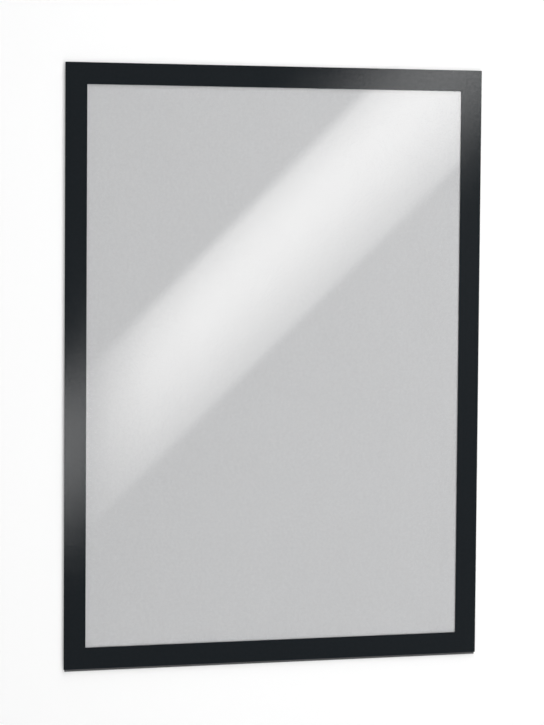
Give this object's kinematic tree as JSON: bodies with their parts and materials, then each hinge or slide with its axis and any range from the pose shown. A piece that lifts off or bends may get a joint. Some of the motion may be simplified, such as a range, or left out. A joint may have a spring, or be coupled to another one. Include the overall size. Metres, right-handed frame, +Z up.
{
  "type": "magnetic poster frame",
  "caption": "Flat self-adhesive wall frame: a black-bordered clear front on a film hinge that magnet strips hold shut over a light grey back sheet.",
  "frame": {"origin": "middle of the front panel's width and height, on the plane where the adhesive strips meet the wall", "axes": "+X to the viewer's right, +Y into the wall, +Z up; the front faces -Y"},
  "size_m": [0.325, 0.0024, 0.4485],
  "materials": {
    "border_film": "satin",
    "clear_film": "gloss",
    "grey_sheet": "matte",
    "magnet_rubber": "matte",
    "adhesive_tape": "matte",
    "hinge_film": "satin"
  },
  "bodies": {
    "back_panel": {"back_sheet": "grey_sheet", "back_magnet_top": "magnet_rubber", "back_magnet_bottom": "magnet_rubber", "back_magnet_left": "magnet_rubber", "back_magnet_right": "magnet_rubber", "adhesive_strip_top": "adhesive_tape", "adhesive_strip_bottom": "adhesive_tape", "adhesive_strip_left": "adhesive_tape", "adhesive_strip_right": "adhesive_tape", "hinge_strip": "hinge_film"},
    "front_panel": {"front_border": "border_film", "front_window": "clear_film", "front_magnet_top": "magnet_rubber", "front_magnet_bottom": "magnet_rubber", "front_magnet_left": "magnet_rubber", "front_magnet_right": "magnet_rubber"}
  },
  "joints": [
    {"name": "front_hinge", "type": "hinge", "parent": "back_panel", "child": "front_panel", "pos_m": [0, -0.00165, -0.2249], "axis": [1, 0, 0], "range_deg": [0, 180], "deforming": ["hinge_strip"]}
  ]
}
